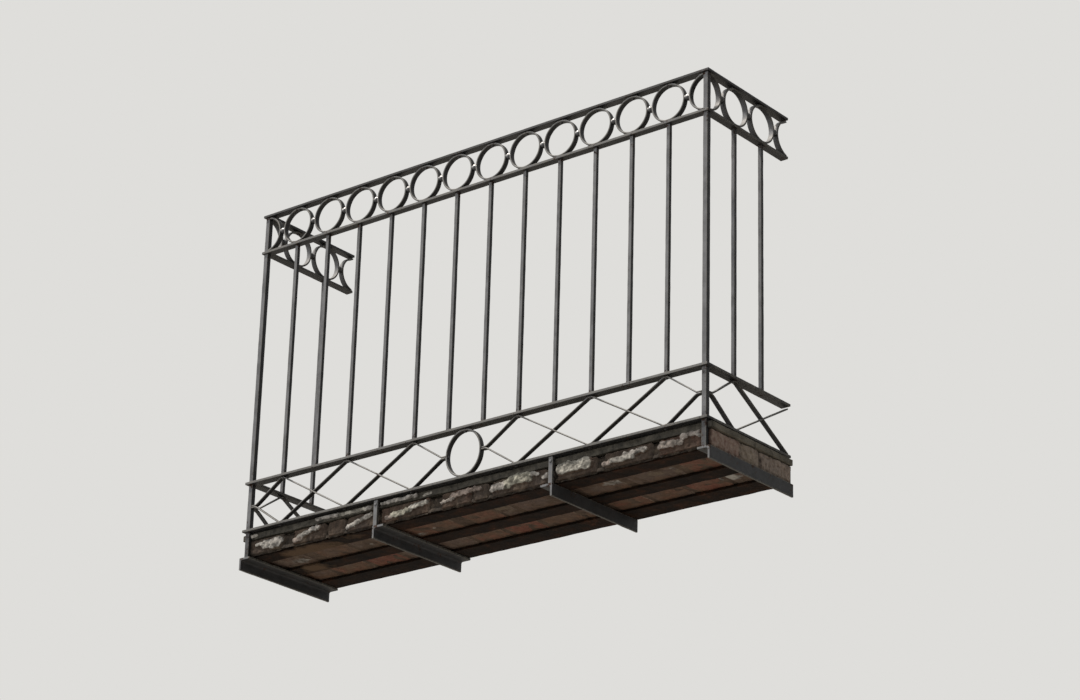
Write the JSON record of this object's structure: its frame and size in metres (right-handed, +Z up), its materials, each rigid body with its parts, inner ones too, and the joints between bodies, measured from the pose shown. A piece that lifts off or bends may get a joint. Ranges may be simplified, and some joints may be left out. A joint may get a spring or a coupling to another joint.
{
  "type": "wrought iron balcony",
  "caption": "Shallow wrought iron balcony with a ring frieze, square bars, a crossed lattice band with an oval medallion, and a worn brick deck on four angle beams.",
  "frame": {"origin": "on the back face of the wall angle under the deck, half way along the balcony, in the plane of the wall", "axes": "+X along the facade to the right as seen from the street, +Y into the wall, +Z up"},
  "size_m": [1.736, 0.396, 1.162],
  "materials": {
    "painted_iron": "black paint, dull and dusty, over hand-forged flats and squares",
    "rusty_iron": "old dark paint with brown rust",
    "old_brick": "worn red-brown brick in washed-out lime mortar",
    "cement_topping": "weathered grey cement with a broken front edge"
  },
  "bodies": {
    "root": {"top_rail_front": "painted_iron", "top_rail_left": "painted_iron", "top_rail_right": "painted_iron", "frieze_rail_front": "painted_iron", "frieze_rail_left": "painted_iron", "frieze_rail_right": "painted_iron", "ring_frieze_front": "painted_iron", "ring_frieze_left": "painted_iron", "ring_frieze_right": "painted_iron", "frieze_balls_front": "painted_iron", "frieze_balls_left": "painted_iron", "frieze_balls_right": "painted_iron", "lattice_rail_front": "painted_iron", "lattice_rail_left": "painted_iron", "lattice_rail_right": "painted_iron", "bottom_rail_front": "painted_iron", "bottom_rail_left": "painted_iron", "bottom_rail_right": "painted_iron", "corner_post_left": "painted_iron", "corner_post_right": "painted_iron", "balusters_front_left": "painted_iron", "balusters_front_right": "painted_iron", "balusters_left": "painted_iron", "balusters_right": "painted_iron", "lattice_front_left": "painted_iron", "lattice_front_right": "painted_iron", "lattice_medallion": "painted_iron", "lattice_left": "painted_iron", "lattice_right": "painted_iron", "beam_strap_left": "painted_iron", "beam_strap_right": "painted_iron", "angle_beam_outer_left": "painted_iron", "angle_beam_inner_left": "painted_iron", "angle_beam_inner_right": "painted_iron", "angle_beam_outer_right": "painted_iron", "cross_bar_front": "rusty_iron", "cross_bar_middle": "rusty_iron", "wall_angle": "rusty_iron", "brick_bay_left": "old_brick", "brick_bay_middle": "old_brick", "brick_bay_right": "old_brick", "deck_topping": "cement_topping"}
  },
  "joints": []
}
